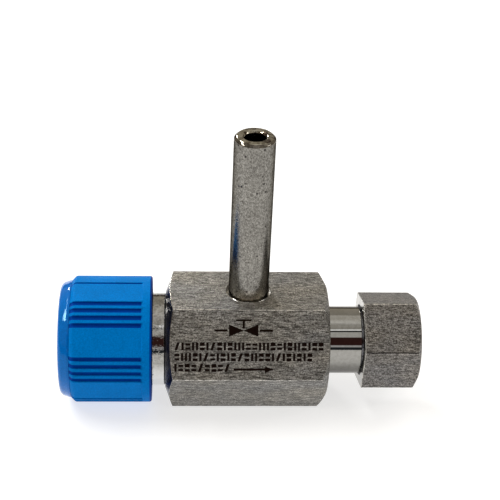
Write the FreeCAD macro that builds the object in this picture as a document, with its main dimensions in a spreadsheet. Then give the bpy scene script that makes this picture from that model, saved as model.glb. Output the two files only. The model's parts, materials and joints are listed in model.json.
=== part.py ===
import FreeCAD, Part
import os
import re
import Sketcher

# Needle valve in stainless steel with a blue plastic knob.
#
# Frame: X runs along the stem and the outlet, from the knob at -X to the union nut at +X. Z is up,
# along the inlet tube. The origin lies on the hexagon's bottom flat, straight below the point where
# the stem axis and the tube axis cross. The valve stands open, its needle 2.5 mm short of the seat.
#
# Every outline is drawn about the crossing of the two axes. "start" and "end" sizes are places along
# X, a start being the end nearer the knob, and heights are measured up from the stem axis. Each
# sub-part's Placement then lifts it by half the hexagon's width.

SIZES = {
    # hexagon bar
    "body_flats": 30,
    "body_start": -20.65,
    "body_end": 20,
    "body_start_face_d": 24.4,  # circles that the corner chamfers leave on the two end faces
    "body_start_angle": 20,
    "body_face_d": 28.6,
    "chamfer_angle": 30,
    # bonnet socket, needle chamber, seat and outlet bore
    "socket_d": 18,
    "socket_floor": -10,
    "chamber_d": 9.6,
    "drill_point_angle": 118,
    "orifice_d": 4,
    "orifice_start": 7,
    "orifice_end": 13,
    "outlet_bore_d": 5.6,
    "outlet_bore_start": 14,
    # outlet spigot with its male thread and 24 degree cone
    "spigot_d": 17.3,
    "spigot_end": 28.9,
    "spigot_chamfer": 0.5,
    "undercut_d": 14.6,
    "undercut_end": 30.2,
    "outlet_thread_d": 16.66,
    "outlet_thread_chamfer": 0.8,
    "outlet_end": 40,
    "outlet_stop": 33,
    "outlet_socket_d": 10.2,
    "cone_mouth_d": 12.3,
    "cone_half_angle": 12,
    # inlet tube
    "tube_d": 10,
    "tube_bore_d": 5,
    "tube_top": 58.3,
    "tube_foot": 9,
    "tube_chamfer": 0.6,
    "tube_lip": 0.4,
    "tube_spigot_d": 9.2,       # turned down where it sits in the body
    "tube_fit_gap": 0.05,
    "tube_mouth_d": 10.9,       # countersink round the tube in the top flat
    "inlet_passage_d": 4.4,
    # bonnet with its collar and packing box
    "bonnet_end": -10.8,
    "bonnet_start": -28.5,
    "bonnet_shank_d": 17.9,
    "bonnet_thread_bore_d": 8.1,
    "collar_d": 23.6,
    "collar_start": -24.3,
    "collar_edge": 0.3,
    "gland_thread_d": 15,
    "box_d": 11,
    "box_floor": -17,
    "gasket_d": 17.8,
    "gasket_bore_d": 9.5,
    # packing stack
    "packing_d": 10.9,
    "packing_bore_d": 6.9,
    "washer_thick": 1,
    "ring_thick": 2,
    "follower_flange_end": -29.2,
    "follower_flange_thick": 1,
    "follower_flange_d": 13.6,
    # gland nut
    "gland_flats": 18,
    "gland_start": -32.5,
    "gland_end": -25,
    "gland_face_d": 17.2,
    "gland_thread_bore_d": 15.1,
    "gland_hole_d": 7.2,
    # stem
    "stem_start": -41.8,
    "stem_end": -1,
    "stem_shaft_d": 6.8,
    "stem_square": 4.8,
    "stem_square_end": -35.5,
    "stem_thread_d": 8,
    "stem_thread_start": -16.3,
    "stem_collar_d": 8.8,
    "stem_collar_start": -10.2,
    "stem_collar_thick": 1,
    "stem_neck_d": 7.2,
    "stem_edge": 0.5,
    "tapped_hole_d": 3,
    "tapped_hole_end": -36,
    "tip_socket_d": 5,
    "tip_socket_floor": -4.9,
    "ball_socket_d": 2,
    "ball_socket_floor": -6.52,
    # needle tip, its thrust ball and its retainer
    "flange_start": -4.7,
    "flange_end": -3.7,
    "flange_d": 4.4,
    "tail_d": 3.2,
    "tip_shoulder": -0.8,
    "tip_d": 5.6,
    "tip_cone_start": 2.22,
    "tip_end_d": 0.8,
    "tip_half_angle": 20,
    "ball_d": 1.8,
    "retainer_start": -3.6,
    "retainer_d": 4.96,
    "retainer_bore_d": 3.4,
    # knob grip
    "knob_d": 32,
    "knob_start": -44.2,
    "knob_end": -24.05,
    "knob_edge": 1,
    "knob_mouth_edge": 0.3,
    "skirt_bore_d": 25,
    "web_start": -42,
    "web_end": -35.5,
    "web_hole_d": 10,
    "cap_recess_d": 25,
    "insert_flats": 12,
    "grip_count": 7,
    "grip_angle": 6.3,          # first grooved corner, from the front towards the top
    "grip_half_width": 12.9,    # angle from a grooved corner's middle to the flat beside it
    "grip_end": -26.3,
    "groove_pitch": 7.05,
    "groove_d": 1.3,
    "groove_depth": 0.5,
    # knob insert, screw, washer and cap
    "insert_square": 4.9,
    "lock_washer_d": 7,
    "lock_washer_bore_d": 3.2,
    "lock_washer_thick": 0.5,
    "screw_d": 2.96,
    "screw_end": -37,
    "screw_head_d": 5.6,
    "screw_head_height": 2,
    "screw_key": 2,
    "screw_key_depth": 1.2,
    "cap_start": -47.6,
    "cap_d": 29.8,
    "cap_edge": 2.2,
    "cap_plug_d": 24.9,
    "cap_plug_end": -42.2,
    "cap_hollow_d": 21.8,
    "cap_hollow_start": -45.4,
    # union nut and cutting ring
    "nut_flats": 22,
    "nut_turn": 20.4,           # first corner, from the front towards the top
    "nut_start": 29.05,
    "nut_end": 43.5,
    "nut_face_d": 21.24,
    "nut_thread_bore_d": 16.76,
    "nut_lead": 0.5,
    "nut_cone_start": 40.2,
    "nut_cone_d": 16,
    "ring_nose": 37,
    "ring_nose_d": 10.84,
    "ring_wedge_d": 12.1,
    "ring_shoulder": 40.3,
    "ring_collar_d": 13,
    "ring_collar_end": 41.5,
    "ring_end": 42.4,
    "ring_end_d": 11.2,
}

doc = FreeCAD.newDocument("needle_valve")
BODY, SKETCH = "PartDesign::Body", "Sketcher::SketchObject"
ADD_TURN, CUT_TURN = "PartDesign::Revolution", "PartDesign::Groove"
ADD_PAD, CUT_POCKET = "PartDesign::Pad", "PartDesign::Pocket"


# ---- sheet, sketches and features ----

def fill_sheet():
    """Write every driving size into the sheet, as text, with its alias."""
    table = doc.addObject("Spreadsheet::Sheet", "Sizes")
    for row, (alias, value) in enumerate(SIZES.items(), 1):
        table.set(f"A{row}", alias)
        table.set(f"B{row}", str(value))
        table.setAlias(f"B{row}", alias)
    doc.recompute()


def bound(text):
    """The expression with the sheet's name put before each alias, such as Sizes.tube_d."""
    return re.sub(r"[a-z]+(_[a-z]+)+", lambda alias: "Sizes." + alias.group(), str(text))


def new_body(label):
    """An empty body lifted to the stem axis."""
    body = doc.addObject(BODY, label)
    body.Label = label
    body.setExpression("Placement.Base.z", bound("body_flats/2"))
    return body


def new_sketch(body, role, at=None):
    """A sketch on one of the body's own origin planes, moved along its normal to the place at."""
    sketch = body.newObject(SKETCH, body.Label + "_sketch")
    plane = next(each for each in body.Origin.OriginFeatures if each.Role == role)
    sketch.AttachmentSupport = [(plane, "")]
    sketch.MapMode = "FlatFace"
    if at is not None:
        sketch.setExpression("AttachmentOffset.Base.z", bound(at))
    return sketch


def hold(sketch, geometry, point, across, up):
    """Bind one point of the geometry to its two expressions."""
    for kind, text in (("DistanceX", across), ("DistanceY", up)):
        value = float(sketch.evalExpression(bound(text)))
        index = sketch.addConstraint(Sketcher.Constraint(kind, -1, 1, geometry, point, value))
        sketch.setExpression(f"Constraints[{index}]", bound(text))


def add_loop(sketch, corners):
    """Draw a closed loop of straight lines through the corners, each a pair of expressions."""
    first = len(sketch.Geometry)
    places = [[float(sketch.evalExpression(bound(text))) for text in pair] for pair in corners]
    points = [FreeCAD.Vector(across, up, 0) for across, up in places]
    count = len(points)
    for index in range(count):
        sketch.addGeometry(Part.LineSegment(points[index], points[(index + 1) % count]))
    for index in range(count):
        following = first + (index + 1) % count
        sketch.addConstraint(Sketcher.Constraint("Coincident", first + index, 2, following, 1))
    for index, (across, up) in enumerate(corners):
        hold(sketch, first + index, 1, across, up)


def add_circle(sketch, across, up, diameter):
    """Draw a circle whose centre and diameter are expressions."""
    centre = [float(sketch.evalExpression(bound(text))) for text in (across, up)]
    radius = float(sketch.evalExpression(bound(diameter))) / 2
    circle = sketch.addGeometry(Part.Circle(FreeCAD.Vector(*centre, 0), FreeCAD.Vector(0, 0, 1), radius))
    hold(sketch, circle, 3, across, up)
    index = sketch.addConstraint(Sketcher.Constraint("Radius", circle, radius))
    sketch.setExpression(f"Constraints[{index}]", bound(f"({diameter})/2"))


def settle(body, feature, before):
    """Recompute, and make sure that the feature added or removed what it is for."""
    body.Tip = feature
    doc.recompute()
    change = body.Shape.Volume - before
    adds = feature.TypeId in (ADD_TURN, ADD_PAD)
    if (adds and change <= 0) or (not adds and change >= 0):
        raise RuntimeError(f"{feature.Label} changed the volume by {change:.3f}")
    return feature


def volume(body):
    return 0 if body.Shape.isNull() else body.Shape.Volume


def turn(body, kind, *loops, axis="H_Axis"):
    """Add or cut a turned shape from loops drawn in the XZ plane."""
    before = volume(body)
    sketch = new_sketch(body, "XZ_Plane")
    for corners in loops:
        add_loop(sketch, corners)
    feature = body.newObject(kind, body.Label + "_turn")
    feature.Profile = sketch
    feature.ReferenceAxis = (sketch, [axis])
    feature.Angle = 360
    return settle(body, feature, before)


def push(body, kind, sketch, length=None, reverse=False):
    """Pad or pocket a sketch by a length, or all the way through when no length is given."""
    before = volume(body)
    feature = body.newObject(kind, body.Label + "_push")
    feature.Profile = sketch
    if length is None:
        feature.Type = "ThroughAll"
        feature.Midplane = True
    else:
        feature.setExpression("Length", bound(length))
        feature.Reversed = reverse
    return settle(body, feature, before)


def ring(label, start, end, outer_d, bore_d):
    """A plain turned ring."""
    body = new_body(label)
    outer, bore = f"({outer_d})/2", f"({bore_d})/2"
    turn(body, ADD_TURN, [(start, bore), (start, outer), (end, outer), (end, bore)])
    return body


def polygon(flats, sides, turned=0):
    """Corners of a regular polygon in the YZ plane, the first at angle turned above the front."""
    step = 360 / sides
    return [(f"-({flats})/2/cos({step / 2})*cos({turned} + {step * index})",
             f"({flats})/2/cos({step / 2})*sin({turned} + {step * index})") for index in range(sides)]


def hexagon_bar(body, flats, start, end, turned=0):
    """A length of hexagon bar along X."""
    sketch = new_sketch(body, "YZ_Plane", at=start)
    add_loop(sketch, polygon(flats, 6, turned))
    push(body, ADD_PAD, sketch, f"({end}) - ({start})")


def corner_chamfer(face, face_d, flats, towards, angle="chamfer_angle"):
    """Loop that trims a hexagon's corners; towards is + or -, the way from the face into the bar."""
    beyond = f"({flats})/sqrt(3) + 1"
    depth = f"({beyond} - ({face_d})/2)*tan({angle})"
    return [(face, f"({face_d})/2"), (face, beyond), (f"{face} {towards} {depth}", beyond)]


# ---- valve body and inlet ----

def valve_body():
    body = new_body("valve_body")
    hexagon_bar(body, "body_flats", "body_start", "body_end")
    turn(body, CUT_TURN,
         corner_chamfer("body_start", "body_start_face_d", "body_flats", "+", "body_start_angle"),
         corner_chamfer("body_end", "body_face_d", "body_flats", "-"))
    turn(body, ADD_TURN, outlet_spigot())
    turn(body, CUT_TURN, stem_and_outlet_bore())
    turn(body, CUT_TURN, tube_socket(), axis="V_Axis")
    return body


def outlet_spigot():
    """Plain neck, undercut and thread, from just inside the hexagon to the outlet's end."""
    inside = "body_end - 1"
    return [(inside, "0"),
            (inside, "spigot_d/2"),
            ("spigot_end - spigot_chamfer", "spigot_d/2"),
            ("spigot_end", "spigot_d/2 - spigot_chamfer"),
            ("spigot_end", "undercut_d/2"),
            ("undercut_end", "undercut_d/2"),
            ("undercut_end + outlet_thread_chamfer", "outlet_thread_d/2"),
            ("outlet_end - outlet_thread_chamfer", "outlet_thread_d/2"),
            ("outlet_end", "outlet_thread_d/2 - outlet_thread_chamfer"),
            ("outlet_end", "0")]


def stem_and_outlet_bore():
    """Bonnet socket, needle chamber, seat, outlet bore, tube socket and sealing cone, in one cut."""
    left, right = "body_start - 1", "outlet_end + 1"
    seat_drop = "(chamber_d - orifice_d)/2/tan(drill_point_angle/2)"
    cone_length = "(cone_mouth_d - outlet_socket_d)/2/tan(cone_half_angle)"
    return [(left, "0"),
            (left, "socket_d/2"),
            ("socket_floor", "socket_d/2"),
            ("socket_floor", "chamber_d/2"),
            (f"orifice_start - {seat_drop}", "chamber_d/2"),
            ("orifice_start", "orifice_d/2"),
            ("orifice_end", "orifice_d/2"),
            ("outlet_bore_start", "outlet_bore_d/2"),
            ("outlet_stop", "outlet_bore_d/2"),
            ("outlet_stop", "outlet_socket_d/2"),
            (f"outlet_end - {cone_length}", "outlet_socket_d/2"),
            ("outlet_end", "cone_mouth_d/2"),
            (right, "cone_mouth_d/2"),
            (right, "0")]


def tube_socket():
    """Hole for the inlet tube in the top flat, with the passage from its foot to the chamber."""
    top, wall = "body_flats/2", "tube_spigot_d/2 + tube_fit_gap"
    return [("0", "0"),
            ("inlet_passage_d/2", "0"),
            ("inlet_passage_d/2", "tube_foot"),
            (wall, "tube_foot"),
            (wall, f"{top} - (tube_mouth_d/2 - ({wall}))"),
            ("tube_mouth_d/2", top),
            ("tube_mouth_d/2", f"{top} + 1"),
            ("0", f"{top} + 1")]


def inlet_tube():
    """Thick tube whose foot is turned down to sit in the body, its shoulder level with the top flat."""
    body = new_body("inlet_tube")
    turn(body, ADD_TURN,
         [("tube_bore_d/2", "tube_foot"),
          ("tube_spigot_d/2", "tube_foot"),
          ("tube_spigot_d/2", "body_flats/2"),
          ("tube_d/2", "body_flats/2"),
          ("tube_d/2", "tube_top - tube_chamfer"),
          ("tube_d/2 - tube_chamfer", "tube_top"),
          ("tube_bore_d/2 + tube_lip", "tube_top"),
          ("tube_bore_d/2", "tube_top - tube_lip")], axis="V_Axis")
    return body


# ---- bonnet, packing and gland ----

def bonnet():
    body = new_body("bonnet")
    turn(body, ADD_TURN,
         [("bonnet_end", "bonnet_thread_bore_d/2"),
          ("bonnet_end", "bonnet_shank_d/2 - 0.5"),
          ("bonnet_end - 0.5", "bonnet_shank_d/2"),
          ("body_start", "bonnet_shank_d/2"),
          ("body_start", "collar_d/2 - collar_edge"),
          ("body_start - collar_edge", "collar_d/2"),
          ("collar_start + collar_edge", "collar_d/2"),
          ("collar_start", "collar_d/2 - collar_edge"),
          ("collar_start", "gland_thread_d/2"),
          ("bonnet_start + 0.5", "gland_thread_d/2"),
          ("bonnet_start", "gland_thread_d/2 - 0.5"),
          ("bonnet_start", "box_d/2"),
          ("box_floor", "box_d/2"),
          ("box_floor", "bonnet_thread_bore_d/2")])
    return body


def packing_stack():
    """Washer on the box floor and the three rings on it, counted from the floor outwards."""
    stack = [ring("packing_washer", "box_floor - washer_thick", "box_floor",
                  "packing_d", "packing_bore_d")]
    for index in range(3):
        end = f"box_floor - washer_thick - {index}*ring_thick"
        stack.append(ring(f"packing_ring_{index + 1}", f"{end} - ring_thick", end,
                          "packing_d", "packing_bore_d"))
    return stack


def gland_follower():
    body = new_body("gland_follower")
    nose = "box_floor - washer_thick - 3*ring_thick"
    flange_start = "follower_flange_end - follower_flange_thick"
    turn(body, ADD_TURN,
         [(nose, "packing_bore_d/2"),
          (nose, "packing_d/2"),
          ("follower_flange_end", "packing_d/2"),
          ("follower_flange_end", "follower_flange_d/2"),
          (flange_start, "follower_flange_d/2"),
          (flange_start, "packing_bore_d/2")])
    return body


def gland_nut():
    body = new_body("gland_nut")
    hexagon_bar(body, "gland_flats", "gland_start", "gland_end")
    ceiling = "follower_flange_end - follower_flange_thick"
    turn(body, CUT_TURN,
         corner_chamfer("gland_start", "gland_face_d", "gland_flats", "+"),
         [("gland_start - 1", "0"),
          ("gland_start - 1", "gland_hole_d/2"),
          (ceiling, "gland_hole_d/2"),
          (ceiling, "gland_thread_bore_d/2"),
          ("gland_end + 1", "gland_thread_bore_d/2"),
          ("gland_end + 1", "0")])
    return body


# ---- stem and needle ----

def stem():
    body = new_body("stem")
    collar_end = "stem_collar_start + stem_collar_thick"
    turn(body, ADD_TURN,
         [("tapped_hole_end", "0"),
          ("tapped_hole_end", "tapped_hole_d/2"),
          ("stem_start", "tapped_hole_d/2"),
          ("stem_start", "stem_shaft_d/2 - stem_edge"),
          ("stem_start + stem_edge", "stem_shaft_d/2"),
          ("stem_thread_start", "stem_shaft_d/2"),
          ("stem_thread_start + stem_edge", "stem_thread_d/2"),
          ("stem_collar_start", "stem_thread_d/2"),
          ("stem_collar_start", "stem_collar_d/2"),
          (collar_end, "stem_collar_d/2"),
          (collar_end, "stem_neck_d/2"),
          ("stem_end - stem_edge", "stem_neck_d/2"),
          ("stem_end", "stem_neck_d/2 - stem_edge"),
          ("stem_end", "tip_socket_d/2"),
          ("tip_socket_floor", "tip_socket_d/2"),
          ("tip_socket_floor", "ball_socket_d/2"),
          ("ball_socket_floor", "ball_socket_d/2"),
          ("ball_socket_floor", "0")])
    flats = new_sketch(body, "YZ_Plane", at="stem_square_end")
    add_circle(flats, "0", "0", "stem_shaft_d + 2")
    add_loop(flats, polygon("stem_square", 4, 45))
    push(body, CUT_POCKET, flats, "stem_square_end - stem_start + 1")
    return body


def needle_tip():
    body = new_body("needle_tip")
    cone_end = "tip_cone_start + (tip_d - tip_end_d)/2/tan(tip_half_angle)"
    turn(body, ADD_TURN,
         [("flange_start", "0"),
          ("flange_start", "flange_d/2"),
          ("flange_end", "flange_d/2"),
          ("flange_end", "tail_d/2"),
          ("tip_shoulder", "tail_d/2"),
          ("tip_shoulder", "tip_d/2"),
          ("tip_cone_start", "tip_d/2"),
          (cone_end, "tip_end_d/2"),
          (cone_end, "0")])
    return body


def thrust_ball():
    """Steel ball that passes the stem's push to the needle tip without turning it."""
    ball = doc.addObject("Part::Sphere", "thrust_ball")
    ball.setExpression("Radius", bound("ball_d/2"))
    ball.setExpression("Placement.Base.x", bound("flange_start - ball_d/2"))
    ball.setExpression("Placement.Base.z", bound("body_flats/2"))
    return ball


# ---- knob ----

def around(radius, angle):
    """A point in the YZ plane at a radius and an angle from the front towards the top."""
    return f"-({radius})*cos({angle})", f"({radius})*sin({angle})"


def knob_grip():
    body = new_body("knob_grip")
    turn(body, ADD_TURN,
         [("knob_end", "knob_d/2 - knob_mouth_edge"),
          ("knob_end - knob_mouth_edge", "knob_d/2"),
          ("knob_start + knob_edge", "knob_d/2"),
          ("knob_start", "knob_d/2 - knob_edge"),
          ("knob_start", "cap_recess_d/2"),
          ("web_start", "cap_recess_d/2"),
          ("web_start", "web_hole_d/2"),
          ("web_end", "web_hole_d/2"),
          ("web_end", "skirt_bore_d/2"),
          ("knob_end", "skirt_bore_d/2")])
    hexagon = new_sketch(body, "YZ_Plane")
    add_loop(hexagon, polygon("insert_flats", 6))
    push(body, CUT_POCKET, hexagon)
    flat, grooves = grip_flat(body), grip_grooves(body)
    pattern = body.newObject("PartDesign::PolarPattern", "knob_grip_pattern")
    pattern.Originals = [flat, grooves]
    pattern.Axis = (hexagon, ["N_Axis"])
    pattern.Angle = 360
    pattern.setExpression("Occurrences", bound("grip_count"))
    settle(body, pattern, volume(body))
    return body


def grip_flat(body):
    """Trim the round knob to a chord between the last grooved corner and the first."""
    middle = "grip_angle - 180/grip_count"
    half = "(180/grip_count - grip_half_width)"
    chord, outside = f"knob_d/2*cos({half})", "knob_d/2 + 2"
    spread = f"({half} + 1)"
    far = f"({outside})/cos({spread})"
    near = f"{chord}/cos({spread})"
    sketch = new_sketch(body, "YZ_Plane", at="grip_end")
    add_loop(sketch, [around(near, f"{middle} - {spread}"), around(far, f"{middle} - {spread}"),
                      around(far, f"{middle} + {spread}"), around(near, f"{middle} + {spread}")])
    return push(body, CUT_POCKET, sketch, "grip_end - knob_start + 1")


def grip_grooves(body):
    """Four round grooves side by side in the first corner."""
    sketch = new_sketch(body, "YZ_Plane", at="grip_end")
    for place in (-1.5, -0.5, 0.5, 1.5):
        centre = around("knob_d/2 + groove_d/2 - groove_depth", f"grip_angle + {place}*groove_pitch")
        add_circle(sketch, *centre, "groove_d")
    return push(body, CUT_POCKET, sketch, "grip_end - knob_start + 1")


def knob_insert():
    """Hexagon bush moulded into the knob, with the square hole that drives the stem."""
    body = new_body("knob_insert")
    hexagon_bar(body, "insert_flats", "web_start", "web_end")
    square = new_sketch(body, "YZ_Plane")
    add_loop(square, polygon("insert_square", 4, 45))
    push(body, CUT_POCKET, square)
    return body


def knob_screw():
    body = new_body("knob_screw")
    under = "web_start - lock_washer_thick"
    top = f"{under} - screw_head_height"
    turn(body, ADD_TURN,
         [(top, "0"),
          (top, "screw_head_d/2 - 0.4"),
          (f"{top} + 0.4", "screw_head_d/2"),
          (under, "screw_head_d/2"),
          (under, "screw_d/2"),
          ("screw_end - 0.4", "screw_d/2"),
          ("screw_end", "screw_d/2 - 0.4"),
          ("screw_end", "0")])
    key = new_sketch(body, "YZ_Plane", at=f"{top} + screw_key_depth")
    add_loop(key, polygon("screw_key", 6))
    push(body, CUT_POCKET, key, "screw_key_depth + 1")
    return body


def knob_cap():
    """Hollow glossy end cap with a round edge, plugged into the grip's recess."""
    body = new_body("knob_cap")
    turn(body, ADD_TURN,
         [("cap_start", "0"),
          ("cap_start", "cap_d/2"),
          ("knob_start", "cap_d/2"),
          ("knob_start", "cap_plug_d/2"),
          ("cap_plug_end", "cap_plug_d/2"),
          ("cap_plug_end", "cap_hollow_d/2"),
          ("cap_hollow_start", "cap_hollow_d/2"),
          ("cap_hollow_start", "0")])
    turned, before = body.Tip, volume(body)
    rounding = body.newObject("PartDesign::Fillet", "knob_cap_edge")
    rounding.Base = (turned, [outer_edge(turned.Shape, SIZES["cap_start"], SIZES["cap_d"] / 2)])
    rounding.setExpression("Radius", bound("cap_edge"))
    settle(body, rounding, before)
    return body


def outer_edge(shape, place, radius):
    """Name of the circular edge at a place along X with the given radius."""
    for index, edge in enumerate(shape.Edges, 1):
        circle = getattr(edge, "Curve", None)
        if isinstance(circle, Part.Circle) and abs(circle.Radius - radius) < 1e-6:
            if abs(circle.Center.x - place) < 1e-6:
                return f"Edge{index}"
    raise RuntimeError("no such edge")


# ---- outlet nut and ring ----

def cutting_ring():
    body = new_body("cutting_ring")
    turn(body, ADD_TURN,
         [("ring_nose", "outlet_socket_d/2"),
          ("ring_nose", "ring_nose_d/2"),
          ("outlet_end", "ring_wedge_d/2"),
          ("ring_shoulder", "ring_wedge_d/2"),
          ("ring_shoulder", "ring_collar_d/2"),
          ("ring_collar_end", "ring_collar_d/2"),
          ("ring_end", "ring_end_d/2"),
          ("ring_end", "outlet_socket_d/2")])
    return body


def union_nut():
    body = new_body("union_nut")
    hexagon_bar(body, "nut_flats", "nut_start", "nut_end", "nut_turn")
    turn(body, CUT_TURN, corner_chamfer("nut_end", "nut_face_d", "nut_flats", "-"))
    cone_end = "nut_cone_start + (nut_cone_d - outlet_socket_d)/2"
    turn(body, CUT_TURN,
         [("nut_start - 1", "0"),
          ("nut_start - 1", "nut_thread_bore_d/2 + nut_lead"),
          ("nut_start", "nut_thread_bore_d/2 + nut_lead"),
          ("nut_start + nut_lead", "nut_thread_bore_d/2"),
          ("nut_cone_start", "nut_thread_bore_d/2"),
          ("nut_cone_start", "nut_cone_d/2"),
          (cone_end, "outlet_socket_d/2"),
          ("nut_end + 1", "outlet_socket_d/2"),
          ("nut_end + 1", "0")])
    return body


# ---- assembly ----

def build():
    """Make every sub-part."""
    fill_sheet()
    washer_end = "web_start - lock_washer_thick"
    return [
        valve_body(), inlet_tube(), bonnet(),
        ring("bonnet_gasket", "bonnet_end", "socket_floor", "gasket_d", "gasket_bore_d"),
        *packing_stack(), gland_follower(), gland_nut(),
        stem(), needle_tip(), thrust_ball(),
        ring("needle_retainer", "retainer_start", "stem_end", "retainer_d", "retainer_bore_d"),
        knob_grip(), knob_insert(), knob_screw(), knob_cap(),
        ring("knob_washer", washer_end, "web_start", "lock_washer_d", "lock_washer_bore_d"),
        cutting_ring(), union_nut(),
    ]


def write(pieces):
    """Check the whole document, then write each sub-part to its own file."""
    doc.recompute()
    for each in doc.Objects:
        if {"Invalid", "Error"} & set(each.State):
            raise RuntimeError(f"{each.Label} did not compute")
    for piece in pieces:
        if piece.Shape.isNull() or not piece.Shape.isValid():
            raise RuntimeError(f"{piece.Label} has no valid shape")
    os.makedirs("parts", exist_ok=True)
    for piece in pieces:
        piece.Shape.exportStep(f"parts/{piece.Label}.step")
        print(f"{piece.Label:18} {piece.Shape.Volume:10.1f} mm3  solids {len(piece.Shape.Solids)}")


write(build())
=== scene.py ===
import json
import math
import random

import bmesh
import bpy
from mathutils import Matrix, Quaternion, Vector

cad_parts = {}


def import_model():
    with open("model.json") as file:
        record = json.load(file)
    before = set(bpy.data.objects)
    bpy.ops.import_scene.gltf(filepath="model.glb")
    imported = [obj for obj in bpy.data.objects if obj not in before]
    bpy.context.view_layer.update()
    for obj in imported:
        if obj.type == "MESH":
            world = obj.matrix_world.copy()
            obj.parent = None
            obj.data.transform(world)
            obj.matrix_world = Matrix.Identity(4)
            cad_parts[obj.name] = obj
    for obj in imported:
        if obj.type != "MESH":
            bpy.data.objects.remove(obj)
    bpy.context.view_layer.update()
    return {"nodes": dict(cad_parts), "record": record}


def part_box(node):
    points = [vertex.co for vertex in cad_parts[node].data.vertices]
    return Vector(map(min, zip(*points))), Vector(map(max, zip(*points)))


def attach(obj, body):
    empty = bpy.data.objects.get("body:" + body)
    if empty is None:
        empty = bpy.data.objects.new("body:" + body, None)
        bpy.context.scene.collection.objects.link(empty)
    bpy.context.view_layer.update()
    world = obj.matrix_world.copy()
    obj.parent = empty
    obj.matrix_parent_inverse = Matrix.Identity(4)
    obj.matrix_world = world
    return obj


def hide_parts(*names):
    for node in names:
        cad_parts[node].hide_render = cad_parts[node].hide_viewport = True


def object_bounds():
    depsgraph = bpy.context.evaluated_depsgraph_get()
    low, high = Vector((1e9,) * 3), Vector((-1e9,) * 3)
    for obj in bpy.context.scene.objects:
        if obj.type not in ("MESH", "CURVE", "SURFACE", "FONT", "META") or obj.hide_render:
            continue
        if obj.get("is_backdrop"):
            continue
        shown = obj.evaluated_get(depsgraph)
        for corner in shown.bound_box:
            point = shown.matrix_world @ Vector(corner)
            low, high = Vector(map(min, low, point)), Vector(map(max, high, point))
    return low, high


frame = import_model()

# Needle valve: stainless hexagon body with an upright inlet tube, a ribbed blue knob on the left (-X)
# and a union nut on the right (+X). Shapes are worked out in millimetres in the frame's own axes and
# turned into metres when a mesh is made. Angles round the stem axis start at the front (-Y) and grow
# towards the top.

MM = 0.001


def span(node):
    """Lowest and highest corners of a CAD node, in millimetres."""
    low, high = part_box(node)
    return low / MM, high / MM


BODY_LOW, BODY_HIGH = span("valve_body")
TUBE_LOW, TUBE_HIGH = span("inlet_tube")
BONNET_LOW, BONNET_HIGH = span("bonnet")
KNOB_LOW, KNOB_HIGH = span("knob_grip")
CAP_LOW, CAP_HIGH = span("knob_cap")
NUT_LOW, NUT_HIGH = span("union_nut")

AXIS = (BODY_LOW.z + BODY_HIGH.z) / 2           # height of the stem's axis
FLATS = BODY_HIGH.z - BODY_LOW.z                # hexagon bar, across flats
BODY_START, BODY_END = BODY_LOW.x, 20.0         # ends of the bar
START_FACE_R, START_SLOPE = 12.2, math.tan(math.radians(20))      # round face inside each end's
END_FACE_R, END_SLOPE = 14.3, math.tan(math.radians(30))          # chamfer, and the chamfer's slope
SPIGOT_R, SPIGOT_END = 8.65, 28.72              # polished neck
UNDERCUT_R, UNDERCUT_END = 7.3, 30.2            # groove between the neck and the thread
THREAD_R, THREAD_PITCH, THREAD_DEPTH, THREAD_CHAMFER = 8.33, 1.337, 0.856, 0.8
OUTLET_END = BODY_HIGH.x
SOCKET_R, SOCKET_FLOOR = 5.1, 33.0              # bore for the outlet tube, through nut, ring and spigot
CONE_START, CONE_MOUTH_R = 34.8, 6.15           # cone that the cutting ring is pressed into
OUTLET_BORE_R, ORIFICE_R, CHAMBER_R = 2.8, 2.0, 4.8     # the way through, from the outlet to the stem
BONNET_BORE_R, BONNET_FLOOR = 9.0, -10.0        # bore at the knob's side that the bonnet screws into
TUBE_R, TUBE_FOOT_R, TUBE_BORE_R = (TUBE_HIGH.x - TUBE_LOW.x) / 2, 4.6, 2.5
TUBE_GAP_R, TUBE_GAP_DEPTH = 5.5, 0.8           # open countersink round the tube's foot


# ---- mesh making ----

def rounded(corners, steps=3):
    """Path through corners (along, radius, easing, finish), as (point, finish) pairs.

    Each corner is eased by its easing, and its finish is the material of the stretch after it."""
    path = []
    for index, (along, radius, easing, finish) in enumerate(corners):
        here = Vector((along, radius))
        if not easing:
            path.append((here, finish))
            continue
        before = Vector(corners[index - 1][:2]) - here
        after = Vector(corners[(index + 1) % len(corners)][:2]) - here
        reach = min(easing, 0.45 * before.length, 0.45 * after.length)
        start = here + before.normalized() * reach
        end = here + after.normalized() * reach
        for step in range(steps + 1):
            share = step / steps
            path.append((start.lerp(here, share).lerp(here.lerp(end, share), share), finish))
    return path


def round_stem(along, radius, angle):
    """A point at a place along X, a radius and an angle about the stem axis."""
    return Vector((along, -radius * math.cos(angle), AXIS + radius * math.sin(angle)))


def round_tube(height, radius, angle):
    """A point at a height, a radius and an angle about the inlet tube's axis."""
    return Vector((radius * math.cos(angle), radius * math.sin(angle), height))


def skin(paths, angles, place=round_stem, closed=True, corners=()):
    """Mesh through one path per angle, each joined to the next and the last to the first.

    Where both paths of a strip are in corners, its faces of finish 0 take the corner's finish."""
    mesh = bmesh.new()
    grid = [[mesh.verts.new(place(point.x, point.y, angle) * MM) for point, _ in path]
            for path, angle in zip(paths, angles)]
    rows = len(paths[0])
    for index, ring in enumerate(grid):
        following = (index + 1) % len(grid)
        on_corner = index in corners and following in corners
        for row in range(rows if closed else rows - 1):
            up = (row + 1) % rows
            face = mesh.faces.new((ring[row], ring[up], grid[following][up], grid[following][row]))
            finish = paths[index][row][1]
            face.material_index = corners[index] if on_corner and not finish else finish
    if not closed:
        bmesh.ops.remove_doubles(mesh, verts=mesh.verts, dist=1e-7)
    bmesh.ops.recalc_face_normals(mesh, faces=mesh.faces)
    return mesh


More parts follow.
